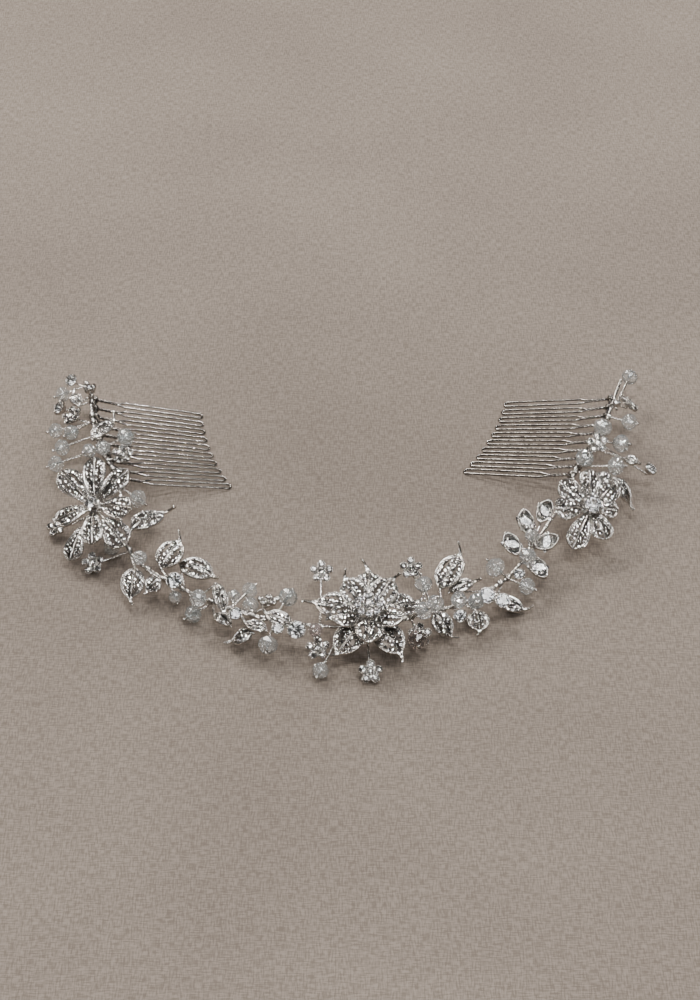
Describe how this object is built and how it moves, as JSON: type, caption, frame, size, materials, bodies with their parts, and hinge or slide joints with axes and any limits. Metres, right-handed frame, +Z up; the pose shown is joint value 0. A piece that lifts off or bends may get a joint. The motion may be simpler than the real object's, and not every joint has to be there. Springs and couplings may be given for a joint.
{
  "type": "bridal hair comb",
  "caption": "Bendable bridal garland of plated wire with stone-set leaves, flowers, rosettes and crystal beads, lying in a U with a looped wire comb under each end.",
  "frame": {"origin": "on the surface it lies on, under the middle of the whole piece", "axes": "+X to the right of the picture, +Y to the open side of the U, +Z up"},
  "size_m": [0.2286, 0.1616, 0.0279],
  "materials": {
    "plated_metal": "polished rhodium plate on brass",
    "comb_wire": "drawn bright wire",
    "crystal": "faceted clear crystal",
    "cut_stone": "foil-backed cut glass"
  },
  "bodies": {
    "root": {"stem": "plated_metal", "flower_lower_petals": "plated_metal", "flower_upper_petals": "plated_metal", "flower_centre": "plated_metal", "flower_stones": "cut_stone", "marquise_cups": "plated_metal", "marquise_stones": "cut_stone", "sprig_beads": "crystal", "left_comb_spine": "comb_wire", "left_comb_teeth": "comb_wire", "left_comb_bindings": "plated_metal", "right_comb_spine": "comb_wire", "right_comb_teeth": "comb_wire", "right_comb_bindings": "plated_metal", "left_flower_petals": "plated_metal", "left_flower_stone": "cut_stone", "right_flower_petals": "plated_metal", "right_flower_stone": "cut_stone", "left_end_twigs": "plated_metal", "left_end_stones": "cut_stone", "left_end_beads": "crystal", "left_vine_twigs": "plated_metal", "left_vine_stones": "cut_stone", "left_vine_beads": "crystal", "right_vine_twigs": "plated_metal", "right_vine_stones": "cut_stone", "right_vine_beads": "crystal", "right_end_twigs": "plated_metal", "right_end_stones": "cut_stone", "right_end_beads": "crystal", "left_leaf_1": "plated_metal", "left_leaf_2": "plated_metal", "left_leaf_3": "plated_metal", "left_leaf_4": "plated_metal", "left_leaf_5": "plated_metal", "left_leaf_6": "plated_metal", "left_leaf_7": "plated_metal", "left_leaf_8": "plated_metal", "left_leaf_9": "plated_metal", "left_leaf_10": "plated_metal", "left_leaf_11": "plated_metal", "left_leaf_12": "plated_metal", "right_leaf_1": "plated_metal", "right_leaf_2": "plated_metal", "right_leaf_3": "plated_metal", "right_leaf_4": "plated_metal", "right_leaf_5": "plated_metal", "right_leaf_6": "plated_metal", "right_leaf_7": "plated_metal", "right_leaf_8": "plated_metal"}
  },
  "joints": []
}
